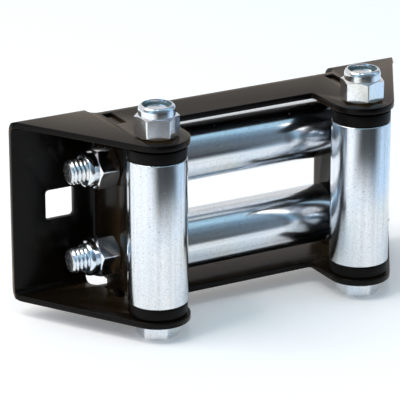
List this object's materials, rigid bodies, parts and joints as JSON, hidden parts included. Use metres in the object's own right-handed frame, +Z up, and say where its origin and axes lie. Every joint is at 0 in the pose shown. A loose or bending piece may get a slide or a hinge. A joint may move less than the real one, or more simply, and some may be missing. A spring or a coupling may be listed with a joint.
{
  "type": "roller fairlead",
  "caption": "Four-way roller fairlead: a folded black bracket with two upright and two level steel rollers that guide a winch rope.",
  "frame": {"origin": "middle of the box's footprint, level with the lowest bolt heads", "axes": "+X along the level rollers, +Y towards the mounting faces at the back, +Z up along the upright rollers"},
  "size_m": [0.1622, 0.0535, 0.0877],
  "materials": {
    "powder_coat": "glossy black powder coat",
    "zinc_tube": "bright zinc plate over drawn tube",
    "black_nylon": "satin moulded nylon",
    "zinc_bolt": "bright zinc plate",
    "zinc_nut": "bright blue zinc plate",
    "insert_nylon": "natural nylon ring"
  },
  "bodies": {
    "frame": {"bracket": "powder_coat", "left_upright_bolt": "zinc_bolt", "left_upright_lock_nut": "zinc_nut", "left_upright_nylon_insert": "insert_nylon", "right_upright_bolt": "zinc_bolt", "right_upright_lock_nut": "zinc_nut", "right_upright_nylon_insert": "insert_nylon", "upper_level_bolt": "zinc_bolt", "upper_level_lock_nut": "zinc_nut", "upper_level_nylon_insert": "insert_nylon", "lower_level_bolt": "zinc_bolt", "lower_level_lock_nut": "zinc_nut", "lower_level_nylon_insert": "insert_nylon"},
    "left_upright_roller": {"left_upright_roller_tube": "zinc_tube", "left_upright_roller_bottom_bushing": "black_nylon", "left_upright_roller_top_bushing": "black_nylon"},
    "right_upright_roller": {"right_upright_roller_tube": "zinc_tube", "right_upright_roller_bottom_bushing": "black_nylon", "right_upright_roller_top_bushing": "black_nylon"},
    "upper_level_roller": {"upper_level_roller_tube": "zinc_tube", "upper_level_roller_left_bushing": "black_nylon", "upper_level_roller_right_bushing": "black_nylon"},
    "lower_level_roller": {"lower_level_roller_tube": "zinc_tube", "lower_level_roller_left_bushing": "black_nylon", "lower_level_roller_right_bushing": "black_nylon"}
  },
  "joints": [
    {"name": "left_upright_spin", "type": "hinge", "parent": "frame", "child": "left_upright_roller", "pos_m": [-0.0426, -0.01485, 0.04105], "axis": [0, 0, 1], "continuous": true},
    {"name": "right_upright_spin", "type": "hinge", "parent": "frame", "child": "right_upright_roller", "pos_m": [0.0426, -0.01485, 0.04105], "axis": [0, 0, 1], "continuous": true},
    {"name": "upper_level_spin", "type": "hinge", "parent": "frame", "child": "upper_level_roller", "pos_m": [0, 0.00975, 0.05815], "axis": [1, 0, 0], "continuous": true},
    {"name": "lower_level_spin", "type": "hinge", "parent": "frame", "child": "lower_level_roller", "pos_m": [0, 0.00975, 0.02395], "axis": [1, 0, 0], "continuous": true}
  ]
}
